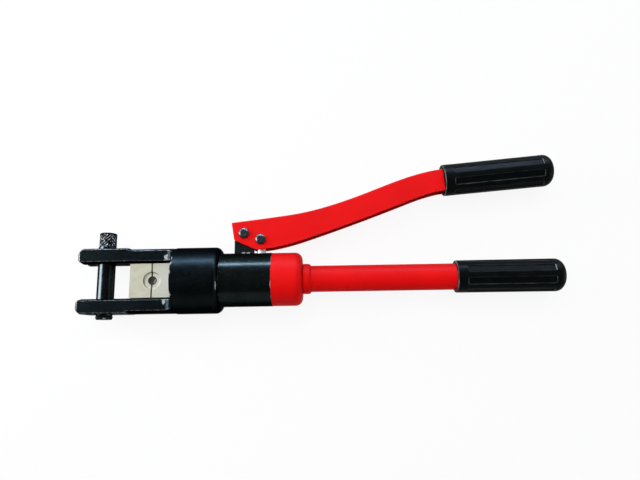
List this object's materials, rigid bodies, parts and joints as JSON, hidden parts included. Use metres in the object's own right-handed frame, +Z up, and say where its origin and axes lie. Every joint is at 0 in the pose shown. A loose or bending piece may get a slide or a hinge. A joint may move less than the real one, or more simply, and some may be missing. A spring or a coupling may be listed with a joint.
{
  "type": "hydraulic crimping tool",
  "caption": "Hand-pumped hydraulic crimper: open fork head with a cross pin and split dies, a pump body, a fixed tube handle and a pivoting channel lever with rubber grips.",
  "frame": {"origin": "centre of the closed crimp nest, on the ram axis and midway through the dies", "axes": "+X along the ram axis towards the handles, +Y from that axis towards the pump lever, +Z up along the nest, with the tool lying on its side as pictured"},
  "size_m": [0.4937, 0.1662, 0.068],
  "materials": {
    "blackened_steel": "satin black oxide",
    "red_paint": "glossy red enamel",
    "die_steel": "ground steel",
    "bright_steel": "ground bright steel",
    "spring_steel": "oiled spring wire",
    "bolt_steel": "dark blued steel",
    "bronze": "turned bronze",
    "grip_rubber": "moulded black rubber",
    "seal_rubber": "nitrile rubber",
    "seal_plastic": "natural sealing plastic"
  },
  "bodies": {
    "frame": {"head_yoke": "blackened_steel", "ram_bush": "bronze", "rod_wiper": "seal_rubber", "pump_body": "blackened_steel", "body_seal": "seal_rubber", "reservoir_cap": "red_paint", "cap_seal": "seal_rubber", "fulcrum_bracket": "blackened_steel", "gland_nut": "bright_steel", "plunger_packing": "seal_plastic", "suction_seat": "bright_steel", "suction_ball": "bright_steel", "suction_spring": "spring_steel", "suction_plug": "bolt_steel", "delivery_ball": "bright_steel", "delivery_spring": "spring_steel", "relief_ball": "bright_steel", "relief_spring": "spring_steel", "relief_screw": "bolt_steel", "spring_anchor_rear": "bright_steel", "return_spring": "spring_steel"},
    "handle": {"handle_collar": "red_paint", "handle_tube": "red_paint", "handle_grip": "grip_rubber", "release_needle": "bright_steel", "stem_seal": "seal_rubber", "oil_bladder": "seal_rubber", "bladder_clamp": "bright_steel", "tube_plug": "seal_rubber"},
    "lever": {"lever_arm": "red_paint", "lever_grip": "grip_rubber", "fulcrum_bolt": "bolt_steel", "fulcrum_nut": "bolt_steel", "drive_bolt": "bolt_steel", "drive_nut": "bolt_steel", "lever_washers": "bolt_steel"},
    "plunger": {"pump_plunger": "bright_steel"},
    "ram": {"ram": "bright_steel", "ram_seal": "seal_rubber", "backup_ring": "seal_plastic", "ram_die": "die_steel", "die_detent": "bright_steel", "spring_anchor_front": "bright_steel"},
    "far_die": {"outer_die": "die_steel"},
    "cross_pin": {"lock_pin": "blackened_steel", "pin_ring": "seal_rubber"}
  },
  "joints": [
    {"name": "lever_swing", "type": "hinge", "parent": "frame", "child": "lever", "pos_m": [0.09315, 0.04715, 0], "axis": [0, 0, 1], "range_deg": [-4, 45]},
    {"name": "plunger_stroke", "type": "slide", "parent": "frame", "child": "plunger", "axis": [0, 1, 0], "range_m": [-0.0014, 0.014]},
    {"name": "ram_advance", "type": "slide", "parent": "frame", "child": "ram", "axis": [-1, 0, 0], "range_m": [0, 0.02], "stiffness_N_per_m": 2500, "springref_m": -0.008, "deforming": ["return_spring"]},
    {"name": "far_die_push", "type": "slide", "parent": "frame", "child": "far_die", "axis": [-1, 0, 0], "range_m": [0, 0.02]},
    {"name": "lock_pin_pull", "type": "slide", "parent": "frame", "child": "cross_pin", "axis": [0, 1, 0], "range_m": [0, 0.075]},
    {"name": "handle_twist", "type": "hinge", "parent": "frame", "child": "handle", "pos_m": [0.1527, 0, 0], "axis": [1, 0, 0], "range_deg": [0, 90]}
  ],
  "couplings": [
    {"joint": "plunger_stroke", "follows": "lever_swing", "m_per_rad": 0.01746},
    {"joint": "far_die_push", "follows": "ram_advance", "ratio": 1}
  ]
}
